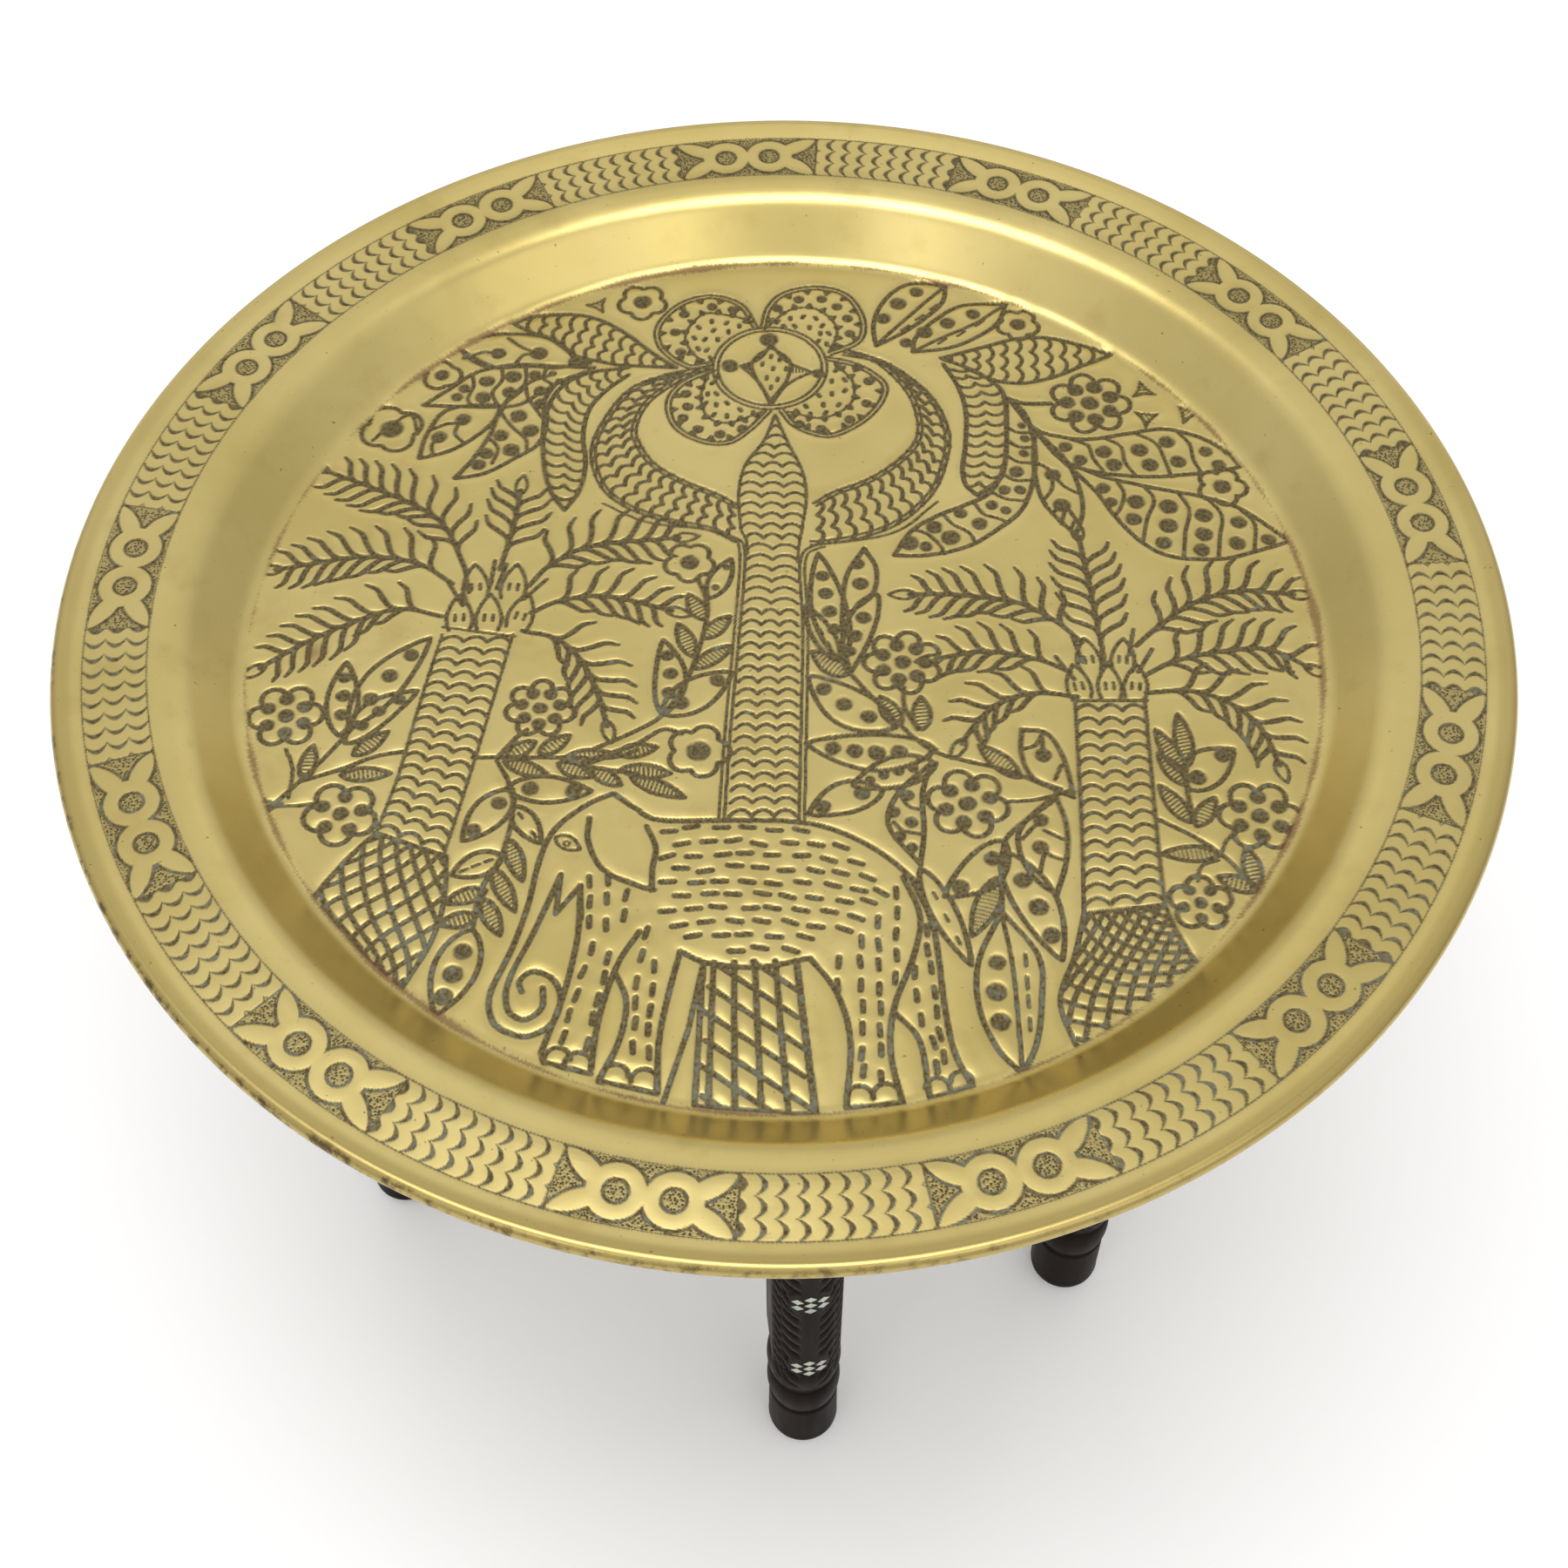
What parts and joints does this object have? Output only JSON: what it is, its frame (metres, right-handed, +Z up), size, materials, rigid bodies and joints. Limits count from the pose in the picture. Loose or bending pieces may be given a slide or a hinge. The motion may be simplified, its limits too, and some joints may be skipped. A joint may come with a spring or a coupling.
{
  "type": "brass tray table",
  "caption": "Round engraved brass tray with a wired rim, lying on a folding stand of crossing dark wood frames with turned feet and mother-of-pearl diamonds.",
  "frame": {"origin": "on the floor, under the centre of the tray", "axes": "+Z up along the tray's axis, -Y towards the front leg of frame A, +X to the right of it"},
  "size_m": [0.5999, 0.6, 0.4225],
  "materials": {
    "brass": "polished, aged, with dark patina in the engraved lines",
    "wire": "plain drawn wire",
    "dark_wood": "dark brown stain, worn satin polish",
    "peg_wood": "dark brown stain, worn satin polish",
    "pearl": "mother-of-pearl, polished",
    "steel": "plain, slightly tarnished"
  },
  "bodies": {
    "frame_a": {"front_leg_a": "dark_wood", "rear_leg_a": "dark_wood", "upper_rail_a": "dark_wood", "lower_rail_a": "dark_wood", "pegs_a": "peg_wood", "front_inlay_a": "pearl", "rear_inlay_a": "pearl", "upper_bolt": "steel", "upper_nut": "steel", "upper_washers": "steel", "lower_bolt": "steel", "lower_nut": "steel", "lower_washers": "steel"},
    "frame_b": {"front_leg_b": "dark_wood", "rear_leg_b": "dark_wood", "upper_rail_b": "dark_wood", "lower_rail_b": "dark_wood", "pegs_b": "peg_wood", "front_inlay_b": "pearl", "rear_inlay_b": "pearl"},
    "frame_c": {"front_leg_c": "dark_wood", "rear_leg_c": "dark_wood", "upper_rail_c": "dark_wood", "lower_rail_c": "dark_wood", "pegs_c": "peg_wood", "front_inlay_c": "pearl", "rear_inlay_c": "pearl"},
    "tray": {"tray": "brass", "rim_wire": "wire"}
  },
  "joints": [
    {"name": "frame_b_swing", "type": "hinge", "parent": "frame_a", "child": "frame_b", "pos_m": [-0.015, 0.004, 0.2], "axis": [0, 0, 1], "range_deg": [-36, 22]},
    {"name": "frame_c_swing", "type": "hinge", "parent": "frame_a", "child": "frame_c", "pos_m": [-0.015, 0.004, 0.2], "axis": [0, 0, 1], "range_deg": [-22, 66]},
    {"name": "tray_lift", "type": "slide", "parent": "frame_a", "child": "tray", "axis": [0, 0, 1], "range_m": [0, 0.12]}
  ]
}
